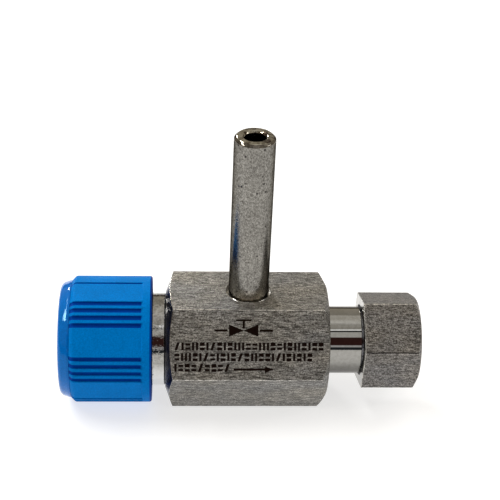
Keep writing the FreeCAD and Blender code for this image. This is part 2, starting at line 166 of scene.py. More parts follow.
def turned(path, place=round_stem, count=128, closed=True):
    """Mesh of one path turned about an axis."""
    return skin([path] * count, [math.tau * index / count for index in range(count)], place, closed)


def finish_piece(name, mesh, materials, body, nodes=(), smooth_angle=32):
    """Make an object from a bmesh, shade it, tie it to its CAD body and hide the CAD nodes it stands in
    for.
    """
    data = bpy.data.meshes.new(name)
    mesh.to_mesh(data)
    mesh.free()
    piece = bpy.data.objects.new(name, data)
    bpy.context.scene.collection.objects.link(piece)
    for material in materials:
        data.materials.append(material)
    data.polygons.foreach_set("use_smooth", [True] * len(data.polygons))
    data.set_sharp_from_angle(angle=math.radians(smooth_angle))
    weighted = piece.modifiers.new("even_normals", "WEIGHTED_NORMAL")
    weighted.keep_sharp = True
    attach(piece, body)
    if nodes:
        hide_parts(*nodes)
    return piece


# ---- materials ----

def set_stops(colour_ramp, stops):
    """Give a colour ramp its (place, colour) stops."""
    elements = colour_ramp.elements
    while len(elements) < len(stops):
        elements.new(0.5)
    for element, (place, colour) in zip(elements, stops):
        element.position = place
        element.color = (*colour, 1)


class Shader:
    """A node material built up line by line."""

    def __init__(self, name, **settings):
        self.material = bpy.data.materials.new(name)
        self.material.use_nodes = True
        self.nodes = self.material.node_tree.nodes
        self.links = self.material.node_tree.links
        self.surface = self.nodes["Principled BSDF"]
        for socket, value in settings.items():
            self.surface.inputs[socket.replace("_", " ")].default_value = value
        self.place = self.nodes.new("ShaderNodeTexCoord").outputs["Object"]

    def link(self, source, socket):
        """Feed a value to one of the surface's own inputs."""
        self.links.new(source, self.surface.inputs[socket])

    def noise(self, stretch, seed, detail=3.0, roughness=0.6, distortion=0.0):
        """Noise whose grain is so many cells per millimetre along X, Y and Z."""
        mapping = self.nodes.new("ShaderNodeMapping")
        mapping.inputs["Scale"].default_value = [value / MM for value in stretch]
        mapping.inputs["Location"].default_value = (seed, seed * 1.7, seed * 2.3)
        self.links.new(self.place, mapping.inputs["Vector"])
        noise = self.nodes.new("ShaderNodeTexNoise")
        noise.inputs["Scale"].default_value = 1.0
        noise.inputs["Detail"].default_value = detail
        noise.inputs["Roughness"].default_value = roughness
        noise.inputs["Distortion"].default_value = distortion
        self.links.new(mapping.outputs["Vector"], noise.inputs["Vector"])
        return noise.outputs["Fac"]

    def pits(self, per_mm, size, seed):
        """Small round spots: 1 in a pit and 0 elsewhere."""
        mapping = self.nodes.new("ShaderNodeMapping")
        mapping.inputs["Scale"].default_value = [per_mm / MM] * 3
        mapping.inputs["Location"].default_value = (seed, seed * 1.3, seed * 0.7)
        self.links.new(self.place, mapping.inputs["Vector"])
        cells = self.nodes.new("ShaderNodeTexVoronoi")
        cells.inputs["Scale"].default_value = 1.0
        self.links.new(mapping.outputs["Vector"], cells.inputs["Vector"])
        return self.ramp(cells.outputs["Distance"], [(size * 0.5, (1, 1, 1)), (size, (0, 0, 0))])

    def ramp(self, source, stops):
        """Colours along a value."""
        ramp = self.nodes.new("ShaderNodeValToRGB")
        set_stops(ramp.color_ramp, stops)
        self.links.new(source, ramp.inputs["Fac"])
        return ramp.outputs["Color"]

    def blend(self, kind, amount, one, two):
        """Two colours mixed; amount is a number or a socket."""
        mix = self.nodes.new("ShaderNodeMix")
        mix.data_type, mix.blend_type = "RGBA", kind
        for socket, value in ((mix.inputs[0], amount), (mix.inputs[6], one), (mix.inputs[7], two)):
            if isinstance(value, bpy.types.NodeSocket):
                self.links.new(value, socket)
            else:
                socket.default_value = value
        return mix.outputs[2]

    def reach(self, axis, start, end):
        """A value that grows from 0 to 1 between two places, in millimetres, along an axis."""
        split = self.nodes.new("ShaderNodeSeparateXYZ")
        self.links.new(self.place, split.inputs[0])
        fit = self.nodes.new("ShaderNodeMapRange")
        fit.inputs["From Min"].default_value = start * MM
        fit.inputs["From Max"].default_value = end * MM
        self.links.new(split.outputs[axis], fit.inputs["Value"])
        return fit.outputs["Result"]

    def scaled(self, source, low, high):
        """A 0 to 1 value moved to the range low to high."""
        fit = self.nodes.new("ShaderNodeMapRange")
        fit.inputs["To Min"].default_value = low
        fit.inputs["To Max"].default_value = high
        self.links.new(source, fit.inputs["Value"])
        return fit.outputs["Result"]

    def bump(self, *heights):
        """Bumps from (value, depth in millimetres) pairs, one on top of the other."""
        normal = None
        for source, depth in heights:
            bump = self.nodes.new("ShaderNodeBump")
            bump.inputs["Distance"].default_value = depth * MM
            self.links.new(source, bump.inputs["Height"])
            if normal:
                self.links.new(normal, bump.inputs["Normal"])
            normal = bump.outputs["Normal"]
        self.link(normal, "Normal")


def brushed_bar(name, dark, light, strokes_per_mm, seed):
    """Drawn hexagon bar: short brush strokes along X over a fine speckle, with a few scratches."""
    shader = Shader(name, Metallic=1.0)
    lines = shader.noise((0.06, 1.6, 1.6), detail=4, roughness=0.7, seed=seed)
    strokes = shader.noise(strokes_per_mm, detail=3, roughness=0.8, seed=seed + 3, distortion=0.5)
    speckle = shader.noise((3.0, 3.4, 3.4), detail=2, roughness=0.7, seed=seed + 5)
    cloud = shader.noise((0.06, 0.12, 0.12), detail=2, seed=seed + 7)
    scratch = shader.noise((0.3, 0.8, 0.8), detail=1, seed=seed + 13, distortion=2.5)
    colour = shader.ramp(strokes, [(0.41, dark), (0.59, light)])
    spots = shader.ramp(speckle, [(0.35, (0.38, 0.37, 0.36)), (0.5, (1, 1, 1)),
                                  (0.65, (1.65, 1.65, 1.65))])
    colour = shader.blend("MULTIPLY", 1.0, colour, spots)
    streak = shader.ramp(lines, [(0.3, (0.82, 0.82, 0.82)), (0.7, (1.18, 1.18, 1.18))])
    colour = shader.blend("MULTIPLY", 1.0, colour, streak)
    line = shader.ramp(scratch, [(0.485, (1, 1, 1)), (0.5, (1.5, 1.5, 1.48)), (0.515, (1, 1, 1))])
    colour = shader.blend("MULTIPLY", 0.7, colour, line)
    warm = shader.ramp(cloud, [(0.35, (0.92, 0.93, 0.95)), (0.65, (1.06, 1.03, 0.97))])
    shader.link(shader.blend("MULTIPLY", 1.0, colour, warm), "Base Color")
    shader.link(shader.scaled(strokes, 0.44, 0.6), "Roughness")
    shader.bump((lines, 0.03), (strokes, 0.09), (speckle, 0.04))
    return shader.material


def worn_edge(name, dark, light):
    """Sharp corner of the bar, catching the light unevenly where it is burred."""
    shader = Shader(name, Metallic=1.0)
    burr = shader.noise((0.9, 0.5, 0.5), detail=4, roughness=0.8, seed=17)
    shader.link(shader.ramp(burr, [(0.4, dark), (0.62, light)]), "Base Color")
    shader.link(shader.scaled(burr, 0.1, 0.25), "Roughness")
    shader.bump((burr, 0.03))
    return shader.material


def turned_steel(name, tint, roughness, axis=0, stained=0.8):
    """Steel off the lathe: very fine rings about an axis, and stains darker by the factor stained."""
    shader = Shader(name, Metallic=1.0)
    stretch = [0.15, 0.15, 0.15]
    stretch[axis] = 6.0
    rings = shader.noise(stretch, detail=2, seed=11)
    stain = shader.noise((0.45, 0.45, 0.45), detail=4, roughness=0.7, seed=4)
    dark = [channel * stained for channel in tint]
    shader.link(shader.ramp(stain, [(0.35, dark), (0.6, tint)]), "Base Color")
    shader.link(shader.scaled(rings, roughness * 0.6, roughness * 1.4), "Roughness")
    shader.bump((rings, 0.0012))
    return shader.material


def neck_steel():
    """Polished neck: lightly stained steel, turned dark and brown low down by painted shade."""
    shader = Shader("neck_steel", Metallic=1.0)
    rings = shader.noise((6.0, 0.15, 0.15), detail=2, seed=11)
    stain = shader.noise((0.9, 0.9, 0.9), detail=4, roughness=0.75, seed=4)
    clean = shader.ramp(stain, [(0.35, (0.26, 0.255, 0.235)), (0.6, (0.31, 0.305, 0.29))])
    # Painted shade: below the axis the colour fades to dark brown, for the shaded floor that the neck
    # reflects.
    painted_shade_low = shader.reach("Z", AXIS - 0.8, AXIS - 6)
    shader.link(shader.blend("MIX", painted_shade_low, clean, (0.06, 0.054, 0.046, 1)), "Base Color")
    shader.link(shader.scaled(rings, 0.02, 0.05), "Roughness")
    shader.bump((rings, 0.0012))
    return shader.material


def collar_steel():
    """Polished collar: nearly a mirror below, darker and speckled on its upper side, with soft dents."""
    shader = Shader("polished_collar_steel", Metallic=1.0)
    stain = shader.noise((0.8, 0.8, 0.8), detail=4, roughness=0.8, seed=9)
    upper = shader.reach("Z", AXIS - 4, AXIS + 1)
    # The upper side's colour is darker and speckled; below, it is light.
    upper_tone = shader.ramp(stain, [(0.35, (0.2, 0.195, 0.18)), (0.65, (0.38, 0.375, 0.36))])
    shader.link(shader.blend("MIX", upper, (0.78, 0.78, 0.77, 1), upper_tone), "Base Color")
    shader.link(shader.scaled(stain, 0.03, 0.08), "Roughness")
    dents = shader.noise((1.5, 1.5, 1.5), detail=2, roughness=0.6, seed=14, distortion=0.6)
    shader.bump((stain, 0.004), (dents, 0.04))
    return shader.material


def pitted_tube():
    """Satin grey tube: speckled all over, with scattered dark pits and a painted highlight on its foot.

    The painted highlight lies just above the hexagon, across the middle of the foot's front and back."""
    shader = Shader("pitted_tube_steel", Metallic=1.0, Specular_Tint=(0.2, 0.2, 0.2, 1))
    grain = shader.noise((2.4, 2.4, 1.9), detail=3, roughness=0.8, seed=21, distortion=0.8)
    cloud = shader.noise((0.25, 0.25, 0.12), detail=3, seed=5)
    pits = shader.pits(0.42, 0.15, seed=2.0)
    colour = shader.ramp(grain, [(0.36, (0.09, 0.083, 0.075)), (0.5, (0.2, 0.192, 0.178)),
                                 (0.64, (0.32, 0.31, 0.29))])
    shade = shader.ramp(cloud, [(0.3, (0.86, 0.86, 0.85)), (0.7, (1.08, 1.08, 1.06))])
    colour = shader.blend("MULTIPLY", 1.0, colour, shade)
    colour = shader.blend("MIX", pits, colour, (0.03, 0.025, 0.025, 1))
    # Painted highlight: the base colour is about three times brighter on the middle of the foot.
    foot = shader.reach("Z", BODY_HIGH.z + 3.4, BODY_HIGH.z + 0.8)
    left, right = shader.reach("X", -4.3, -1.8), shader.reach("X", 4.0, 2.0)
    highlight_patch = shader.blend("MULTIPLY", 1.0, shader.blend("MULTIPLY", 1.0, foot, left), right)
    painted_highlight = shader.blend("MULTIPLY", 1.0, colour, (3.3, 3.15, 2.9, 1))
    shader.link(shader.blend("MIX", highlight_patch, colour, painted_highlight), "Base Color")
    shader.link(shader.scaled(grain, 0.13, 0.28), "Roughness")
    shader.bump((grain, 0.02), (shader.ramp(pits, [(0, (1, 1, 1)), (1, (0, 0, 0))]), 0.04))
    return shader.material


def tube_lip_steel():
    """Cut end of the tube: bright, unevenly filed and stained brown."""
    shader = Shader("tube_lip_steel", Metallic=1.0)
    stain = shader.noise((0.5, 0.5, 0.5), detail=3, roughness=0.6, seed=24, distortion=0.6)
    filed = shader.noise((0.7, 0.7, 0.7), detail=2, seed=19)
    colour = shader.ramp(stain, [(0.4, (0.05, 0.035, 0.025)), (0.5, (0.24, 0.22, 0.17)),
                                 (0.64, (0.36, 0.34, 0.29))])
    shader.link(colour, "Base Color")
    shader.link(shader.scaled(stain, 0.08, 0.16), "Roughness")
    shader.bump((filed, 0.12))
    return shader.material


def moulded_plastic(name, colour, roughness, grain_depth, specular, tint=(0.05, 0.5, 1.0)):
    """Blue plastic with a fine moulded grain and slightly uneven colour."""
    shader = Shader(name, Specular_IOR_Level=specular, Specular_Tint=(*tint, 1))
    grain = shader.noise((2.6, 2.6, 2.6), detail=3, roughness=0.7, seed=31)
    cloud = shader.noise((0.15, 0.15, 0.15), detail=2, seed=8)
    deep = [channel * 0.88 for channel in colour]
    speckle = shader.ramp(grain, [(0.3, (0.82, 0.82, 0.82)), (0.7, (1.14, 1.14, 1.14))])
    tone = shader.ramp(cloud, [(0.3, deep), (0.7, colour)])
    shader.link(shader.blend("MULTIPLY", 1.0, tone, speckle), "Base Color")
    shader.link(shader.scaled(grain, roughness * 0.85, roughness * 1.15), "Roughness")
    shader.bump((grain, grain_depth))
    return shader.material


def plain_grain(name, colour, metallic, roughness, specular=0.5):
    """Simple grainy finish for the marking and small hidden pieces."""
    shader = Shader(name, Metallic=metallic, Specular_IOR_Level=specular)
    grain = shader.noise((2.0, 2.0, 2.0), detail=3, seed=41)
    dark = [channel * 0.75 for channel in colour]
    shader.link(shader.ramp(grain, [(0.35, dark), (0.65, colour)]), "Base Color")
    shader.link(shader.scaled(grain, roughness * 0.8, roughness * 1.2), "Roughness")
    shader.bump((grain, 0.006))
    return shader.material


# Places of the finishes in the material lists of the body and the nut. The fifth is darker steel as
# painted shade in gaps and recesses; the nut's is near black and also paints a dark reflection on one
# edge.
PLAIN, WORN, FACE, NECK, PAINTED_SHADE = range(5)
BAR = brushed_bar("brushed_bar_steel", (0.085, 0.082, 0.077), (0.34, 0.332, 0.315), (0.5, 3.2, 3.2), 1.0)
NUT_BAR = brushed_bar("brushed_nut_steel", (0.07, 0.067, 0.064), (0.26, 0.25, 0.243), (0.8, 3.2, 3.2), 6.0)
EDGE = worn_edge("worn_edge_steel", (0.16, 0.155, 0.145), (0.72, 0.7, 0.64))
POLISHED = collar_steel()
NECK_STEEL = neck_steel()
TURNED = turned_steel("turned_steel", (0.36, 0.35, 0.33), 0.2)
# Darker turned steel: painted shade on the body's start face and chamfer by the knob, and on the spigot's
# end and undercut.
SHADE_TURNED_STEEL = turned_steel("painted_shade_turned_steel", (0.16, 0.16, 0.17), 0.25)
# Near-black steel: painted shade in the nut's lead and thread, and a painted dark reflection along its
# lower front edge.
PAINTED_BLACK_STEEL = turned_steel("painted_black_shade_steel", (0.02, 0.018, 0.017), 0.5)
TUBE_LIP = tube_lip_steel()
TUBE_RIM = turned_steel("tube_rim_steel", (0.2, 0.18, 0.15), 0.1, axis=2, stained=0.15)
TUBE_SKIN = pitted_tube()
GRIP_PLASTIC = moulded_plastic("satin_blue_plastic", (0.0, 0.178, 0.565), 0.55, 0.045, 0.03)
# Darker blue: painted shade for the grooves and the grip's mouth.
SHADE_PAINTED_PLASTIC = moulded_plastic("painted_shade_blue_plastic", (0.0, 0.045, 0.31), 0.6, 0.01, 0.1)
CAP_PLASTIC = moulded_plastic("glossy_blue_plastic", (0.0, 0.135, 0.5), 0.04, 0.0003, 0.3, (0.4, 0.8, 1.0))
GRAPHITE = plain_grain("pressed_graphite", (0.05, 0.05, 0.055), 0.0, 0.5)
BRASS = plain_grain("machined_brass", (0.72, 0.5, 0.2), 1.0, 0.3)
MARK = plain_grain("laser_mark", (0.008, 0.004, 0.003), 0.0, 0.9, specular=0.0)


# ---- hexagon bar pieces ----

def hexagon_outline(flats, first_corner, easing, first_finish, per_side=18, per_corner=4):
    """(angle, radius) pairs round a hexagon with eased corners, and the finishes of its corners."""
    outline, corners = [], {}
    finishes = [first_finish] + [WORN] * 5
    apothem, half_side = flats / 2, flats / 2 * math.tan(math.radians(30)) - easing
    step = math.radians(60)
    start, tip = Vector((apothem, half_side)), Vector((apothem, half_side + easing))
    end = Vector((apothem * math.cos(step) + half_side * math.sin(step),
                  apothem * math.sin(step) - half_side * math.cos(step)))
    for side in range(6):
        middle = math.radians(first_corner + 30) + side * step
        corners[len(outline)] = finishes[side]
        for index in range(per_side):
            across = half_side * (2 * index / (per_side - 1) - 1)
            outline.append((middle + math.atan2(across, apothem), math.hypot(across, apothem)))
        finish = finishes[(side + 1) % 6]
        corners[len(outline) - 1] = finish
        for index in range(1, per_corner):
            share = index / per_corner
            point = start.lerp(tip, share).lerp(tip.lerp(end, share), share)
            corners[len(outline)] = finish
            outline.append((middle + math.atan2(point.y, point.x), point.length))
    return outline, corners


def thread_depth(along, angle):
    """How deep the outlet thread is cut at a place, from 0 on a crest to 1 at a root."""
    phase = (along / THREAD_PITCH + angle / math.tau) % 1
    return min(1.0, max(0.0, 1.25 * (1 - abs(2 * phase - 1)) - 0.12))


def thread_rows(start, end):
    """Places along the thread, 12 to a turn."""
    rows = round((end - start) / THREAD_PITCH * 12)
    return [start + (end - start) * row / rows for row in range(rows + 1)]


def body_path(rho, angle):
    """The valve body's section in one direction, outside and then back through the bore."""
    worn_line, spigot_edge = 0.08, 0.15
    thread = []
    for along in thread_rows(UNDERCUT_END, OUTLET_END):
        crest = THREAD_R - max(0.0, UNDERCUT_END + THREAD_CHAMFER - along,
                               along - OUTLET_END + THREAD_CHAMFER)
        radius = THREAD_R - THREAD_DEPTH * thread_depth(along, angle)
        thread.append((along, min(crest, radius), 0, NECK))
    # The start face and chamfer by the knob, the spigot's end and the undercut are darker steel: painted
    # shade.
    outside = [
        (BODY_START, BONNET_BORE_R, 0.1, PAINTED_SHADE), (BODY_START, START_FACE_R, 0.12, PAINTED_SHADE),
        (BODY_START + (rho - START_FACE_R) * START_SLOPE, rho, 0.12, WORN),
        (BODY_START + (rho - START_FACE_R) * START_SLOPE + worn_line, rho, 0, PLAIN),
        (BODY_END - (rho - END_FACE_R) * END_SLOPE, rho, 0.12, PLAIN),
        (BODY_END, END_FACE_R, 0.1, FACE), (BODY_END, SPIGOT_R, 0.15, NECK),
        (SPIGOT_END - spigot_edge, SPIGOT_R, 0.03, WORN), (SPIGOT_END, SPIGOT_R - spigot_edge, 0.03, PAINTED_SHADE),
        (SPIGOT_END, UNDERCUT_R, 0.2, PAINTED_SHADE)]
    bore = [
        (OUTLET_END, CONE_MOUTH_R, 0.08, FACE), (CONE_START, SOCKET_R, 0.1, FACE),
        (SOCKET_FLOOR, SOCKET_R, 0.05, FACE), (SOCKET_FLOOR, OUTLET_BORE_R, 0.1, FACE),
        (14.0, OUTLET_BORE_R, 0, FACE), (13.0, ORIFICE_R, 0, FACE), (7.0, ORIFICE_R, 0, FACE),
        (5.3, CHAMBER_R, 0, FACE), (BONNET_FLOOR, CHAMBER_R, 0, FACE),
        (BONNET_FLOOR, BONNET_BORE_R, 0, FACE)]
    return rounded(outside + thread + bore)


def cut_by(mesh, cutter, finishes):
    """The mesh with the cutter's shape taken out of it."""
    pieces = []
    for name, source in (("cut_target", mesh), ("cut_tool", cutter)):
        data = bpy.data.meshes.new(name)
        source.to_mesh(data)
        source.free()
        for finish in finishes:
            data.materials.append(finish)
        pieces.append(bpy.data.objects.new(name, data))
        bpy.context.scene.collection.objects.link(pieces[-1])
    target, tool = pieces
    modifier = target.modifiers.new("cut", "BOOLEAN")
    modifier.operation, modifier.solver, modifier.object = "DIFFERENCE", "EXACT", tool
    bpy.context.view_layer.update()
    evaluated = target.evaluated_get(bpy.context.evaluated_depsgraph_get())
    result = bmesh.new()
    result.from_mesh(evaluated.data)
    for piece in pieces:
        bpy.data.objects.remove(piece)
    return result


def valve_body():
    """Hexagon bar body with its spigot and thread, and the socket for the tube."""
    outline, corners = hexagon_outline(FLATS, 0, 0.14, WORN)
    mesh = skin([body_path(rho, angle) for angle, rho in outline], [angle for angle, _ in outline],
                corners=corners)
    top, foot, wall, inlet = BODY_HIGH.z, TUBE_LOW.z, TUBE_FOOT_R + 0.05, 2.2
    socket = [(AXIS, 0, 0, FACE), (AXIS, inlet, 0, FACE), (foot, inlet, 0, FACE), (foot, wall, 0, FACE),
              (top - TUBE_GAP_DEPTH, wall, 0, FACE), (top - TUBE_GAP_DEPTH, TUBE_GAP_R, 0, FACE),
              (top - 0.05, TUBE_GAP_R, 0, WORN), (top + 0.05, TUBE_GAP_R + 0.1, 0, FACE),
              (top + 1, TUBE_GAP_R + 0.1, 0, FACE), (top + 1, 0, 0, FACE)]
    cutter = turned(rounded(socket), round_tube, count=96, closed=False)
    finishes = [BAR, EDGE, TURNED, NECK_STEEL, SHADE_TURNED_STEEL]
    finish_piece("hexagon_body", cut_by(mesh, cutter, finishes), finishes, "valve",
                 ["valve_body"])


def union_nut():
    """Union nut: flat inner face, chamfered outer corners, thread and cone inside."""
    flats, first_corner = 22.0, 20.4
    # The first corner, the nut's lower front edge, is near-black steel: a painted dark reflection.
    outline, corners = hexagon_outline(flats, first_corner, 0.18, PAINTED_SHADE)
    start, end, face_r = NUT_LOW.x, NUT_HIGH.x, 10.62
    # The lead ring round the bore and the thread are near-black steel: painted shade in the gap by the
    # neck.
    lead_r, shade_r, worn_start = 8.95, 9.1, 0.12
    root_r, depth, lead, fade, relief = 8.46, 0.75, 0.5, 0.3, 39.0
    cone, cone_r = 40.2, 8.0

    def path(rho, angle):
        """The nut's section in one direction, outside and then back through the thread."""
        thread = []
        for along in reversed(thread_rows(start + lead, relief)):
            cut = depth * thread_depth(along, angle) * min(1, (along - start - lead) / fade)
            thread.append((along, root_r - cut, 0, PAINTED_SHADE))
        return rounded([
            (start, lead_r, 0.1, PAINTED_SHADE), (start, shade_r, 0, FACE), (start, rho - worn_start, 0, WORN),
            (start, rho, 0.15, WORN), (start + 0.15, rho, 0, PLAIN),
            (end - (rho - face_r) * END_SLOPE, rho, 0.12, PLAIN), (end, face_r, 0.1, FACE),
            (end, SOCKET_R + 0.3, 0.1, FACE), (end - 0.3, SOCKET_R, 0.1, FACE),
            (end - 0.4, SOCKET_R, 0, FACE), (cone, cone_r, 0.1, FACE), (cone, root_r, 0, FACE)] + thread)

    mesh = skin([path(rho, angle) for angle, rho in outline], [angle for angle, _ in outline],
                corners=corners)
    finish_piece("union_nut_hexagon", mesh, [NUT_BAR, EDGE, TURNED, NECK_STEEL, PAINTED_BLACK_STEEL], "nut",
                 ["union_nut"])


# ---- turned pieces ----

def inlet_tube():
    """Tube stub with an eased rim, a filed lip round its bore, and its foot turned down."""
    top, foot, bore, body_top = TUBE_HIGH.z, TUBE_LOW.z, TUBE_BORE_R, BODY_HIGH.z
    sides, lip, rim = range(3)
    path = rounded([(foot, bore, 0.1, sides), (foot, TUBE_FOOT_R, 0.1, sides),
                    (body_top, TUBE_FOOT_R, 0, sides), (body_top, TUBE_R, 0, sides),
                    (top - 0.6, TUBE_R, 0.2, rim), (top, TUBE_R - 0.75, 0.25, lip),
                    (top, bore + 0.45, 0.25, lip), (top - 0.5, bore, 0.12, lip),
                    (top - 3, bore, 0, sides)], steps=4)
    finish_piece("tube_stub", turned(path, round_tube), [TUBE_SKIN, TUBE_LIP, TUBE_RIM], "valve",
                 ["inlet_tube"])


def socket_burr():
    """Thin uneven burr raised round the tube's socket, highest at the left."""
    top, inner, chance, count = BODY_HIGH.z, TUBE_GAP_R + 0.02, random.Random(3), 160
    left = math.radians(-160)
    paths, angles = [], [math.tau * index / count for index in range(count)]
    for angle in angles:
        swell = (0.5 + 0.5 * math.cos(angle - left)) ** 2
        rise = 0.02 + 0.09 * swell + chance.uniform(0, 0.02)
        width = 0.1 + 0.14 * swell
        paths.append(rounded([(top - 0.05, inner, 0, 0), (top + rise, inner + width * 0.3, 0.03, 0),
                              (top - 0.05, inner + width, 0, 0)]))
    finish_piece("socket_burr", skin(paths, angles, round_tube), [EDGE], "valve")


def bonnet():
    """Polished collar between knob and body, on the hub that holds the packing."""
    collar_r, collar_start, edge = (BONNET_HIGH.z - BONNET_LOW.z) / 2, -24.3, 0.3
    screwed_r, hub_r, stem_r, packing_r, packing_floor = 8.9, 7.5, 4.05, 5.5, -17
    path = rounded([(BONNET_HIGH.x, stem_r, 0, 0), (BONNET_HIGH.x, screwed_r, 0.3, 0),
                    (BODY_START, screwed_r, 0, 0), (BODY_START, collar_r - edge, 0.1, 0),
                    (BODY_START - edge, collar_r, 0.15, 0), (collar_start + edge, collar_r, 0.15, 0),
                    (collar_start, collar_r - edge, 0.1, 0), (collar_start, hub_r, 0.2, 0),
                    (BONNET_LOW.x, hub_r, 0.4, 0), (BONNET_LOW.x, packing_r, 0.1, 0),
                    (packing_floor, packing_r, 0, 0), (packing_floor, stem_r, 0, 0)])
    finish_piece("bonnet_collar", turned(path, count=160), [POLISHED], "valve", ["bonnet"])


# ---- knob ----

GRIP_COUNT, SPARE_GRIP = 7, 2         # the spare grip has a single line in place of its grooves
GRIP_SECTOR = math.tau / GRIP_COUNT
GRIP_ANGLE, GRIP_HALF = math.radians(6.3), math.radians(13.4)
GROOVE_PITCH, GROOVE_HALF = math.radians(7.05), math.radians(2.2)
GROOVE_DEPTH = 0.55
LINE_ANGLE, LINE_HALF, LINE_DEPTH = math.radians(95.5), math.radians(1.1), 0.3
GRIP_END, RECESS_R = -26.3, 12.5          # where the plain ring starts, and the recess at each end
WEB_START, WEB_END, HUB_R = -42.0, -35.5, 5.9


def grip_outline(outer, per_sector=36, per_groove=12):
    """(angle, radius, in a groove) all round the grip: grooved corners with slight flats between."""
    grooves = [(LINE_ANGLE, LINE_HALF, LINE_DEPTH)]
    for sector in range(GRIP_COUNT):
        if sector != SPARE_GRIP:
            middle = GRIP_ANGLE + sector * GRIP_SECTOR
            grooves += [(middle + place * GROOVE_PITCH, GROOVE_HALF, GROOVE_DEPTH)
                        for place in (-1.5, -0.5, 0.5, 1.5)]
    places = [(angle + half * share, depth * math.sqrt(1 - share ** 2) ** 0.8, abs(share) < 0.9)
              for angle, half, depth in grooves
              for share in (-math.cos(math.pi * step / per_groove) for step in range(per_groove + 1))]
    steps = GRIP_COUNT * per_sector
    for step in range(steps):
        angle = GRIP_ANGLE + math.tau * step / steps
        if all(abs((angle - middle + math.pi) % math.tau - math.pi) > half * 1.2
               for middle, half, _ in grooves):
            places.append((angle, 0, False))
    outline = []
    for angle, drop, grooved in sorted((place[0] % math.tau, *place[1:]) for place in places):
        away = abs((angle - GRIP_ANGLE + GRIP_SECTOR / 2) % GRIP_SECTOR - GRIP_SECTOR / 2)
        flat = GRIP_SECTOR / 2 - GRIP_HALF
        chord = math.cos(flat) / math.cos(GRIP_SECTOR / 2 - away) if away > GRIP_HALF else 1
        outline.append((angle, outer * chord - drop, grooved))
    return outline


def knob_grip():
    """Ribbed grip: a plain ring at its mouth, an eased edge at its outer end, hollow inside."""
    outer = (KNOB_HIGH.z - KNOB_LOW.z) / 2
    start, end, bevel, mouth_bevel = KNOB_LOW.x, KNOB_HIGH.x, 1.0, 0.35
    # The second finish is the darker blue: painted shade in the grooves and round the mouth.
    plain, shaded = range(2)
    paths, angles = [], []
    for angle, rho, grooved in grip_outline(outer):
        drop, finish = outer - rho, shaded if grooved else plain
        paths.append(rounded([
            (start, RECESS_R, 0.1, plain), (start, outer - bevel - 0.3 * drop, 0.3, finish),
            (start + bevel - 0.6 * drop, rho, 0.4, finish), (GRIP_END - 0.2, rho, 0.12, plain),
            (GRIP_END + 0.05, outer, 0.12, plain), (end - mouth_bevel, outer, 0.12, shaded),
            (end, outer - mouth_bevel, 0.1, shaded), (end, RECESS_R, 0.15, shaded),
            (WEB_END, RECESS_R, 0.4, plain), (WEB_END, HUB_R, 0, plain), (WEB_START, HUB_R, 0, plain),
            (WEB_START, RECESS_R, 0.1, plain)]))
        angles.append(angle)
    finish_piece("ribbed_grip", skin(paths, angles), [GRIP_PLASTIC, SHADE_PAINTED_PLASTIC], "spindle",
                 ["knob_grip"], smooth_angle=50)


def knob_cap():
    """Glossy crowned cap with a round edge, hollow behind."""
    start, face, outer = CAP_LOW.x, KNOB_LOW.x, (CAP_HIGH.z - CAP_LOW.z) / 2
    crown_rise, crown_r, steps = 0.4, outer - 3.0, 10
    plug_end, plug_r, hollow_r, hollow_start = -42.2, 12.4, 10.9, -45.4
    crown = [(start + crown_rise * (index / steps) ** 2, crown_r * index / steps, 0, 0)
             for index in range(steps + 1)]
    path = rounded(crown + [(start + 0.65, outer - 0.75, 2.0, 0), (start + 2.9, outer, 1.2, 0),
                            (face, outer, 0.08, 0), (face, plug_r, 0, 0), (plug_end, plug_r, 0.1, 0),
                            (plug_end, hollow_r, 0.1, 0), (hollow_start, hollow_r, 0.3, 0),
                            (hollow_start, 0, 0, 0)], steps=6)
    finish_piece("domed_cap", turned(path, count=160, closed=False), [CAP_PLASTIC], "spindle",
                 ["knob_cap"], smooth_angle=50)


# ---- marking on the front upper flat ----

SIGN_HEIGHT, SIGN_WIDTH, SLANT_WIDTH, SIGN_GAP = 1.95, 1.2, 1.3, 0.4
STROKE, SYMBOL_STROKE = 0.56, 0.54
MARK_RAISED, MARK_SUNK = 0.012, 0.03
SIGN_ROWS = [(-18.4, 18.4, -0.3), (-18.4, 16.3, -2.95), (-18.4, -4.6, -5.6)]    # left, right, middle


def face_point(across, up, out):
    """A point on the front upper flat: across along X, up the slope from its middle, out of it."""
    tilt = math.radians(30)
    normal = Vector((0, -math.cos(tilt), math.sin(tilt)))
    slope = Vector((0, math.sin(tilt), math.cos(tilt)))
    return Vector((across, 0, AXIS)) + normal * (FLATS / 2 + out) + slope * up


def add_mark(mesh, outline):
    """A thin raised shape with the given corners, sunk a little into the flat."""
    sunk = [mesh.verts.new(face_point(across, up, -MARK_SUNK) * MM) for across, up in outline]
    raised = [mesh.verts.new(face_point(across, up, MARK_RAISED) * MM) for across, up in outline]
    mesh.faces.new(raised)
    mesh.faces.new(sunk[::-1])
    for index in range(len(outline)):
        after = (index + 1) % len(outline)
        mesh.faces.new((sunk[index], sunk[after], raised[after], raised[index]))


def box(left, low, right, high):
    """Corners of an upright rectangle."""
    return [(left, low), (right, low), (right, high), (left, high)]


def sign_row(mesh, left, right, middle, chance):
    """A row of plain signs, bars, slants, dashes and blocks, which stand for nothing."""
    low, high = middle - SIGN_HEIGHT / 2, middle + SIGN_HEIGHT / 2
    place = left
    while place < right - SLANT_WIDTH:
        kind = chance.choice(("bar", "bar", "slant", "dashes", "blocks"))
        width = {"bar": STROKE, "slant": SLANT_WIDTH}.get(kind, SIGN_WIDTH)
        if kind == "bar":
            add_mark(mesh, box(place, low, place + STROKE, high))
        if kind == "slant":
            foot = STROKE * 1.15
            add_mark(mesh, [(place, low), (place + foot, low), (place + width, high),
                            (place + width - foot, high)])
        if kind == "dashes":
            for base in (low + 0.15, middle + 0.2):
                add_mark(mesh, box(place, base, place + width, base + STROKE))
        if kind == "blocks":
            add_mark(mesh, box(place, low, place + width, middle - 0.3))
            add_mark(mesh, box(place, middle + 0.1, place + width, high))
        place += width + SIGN_GAP


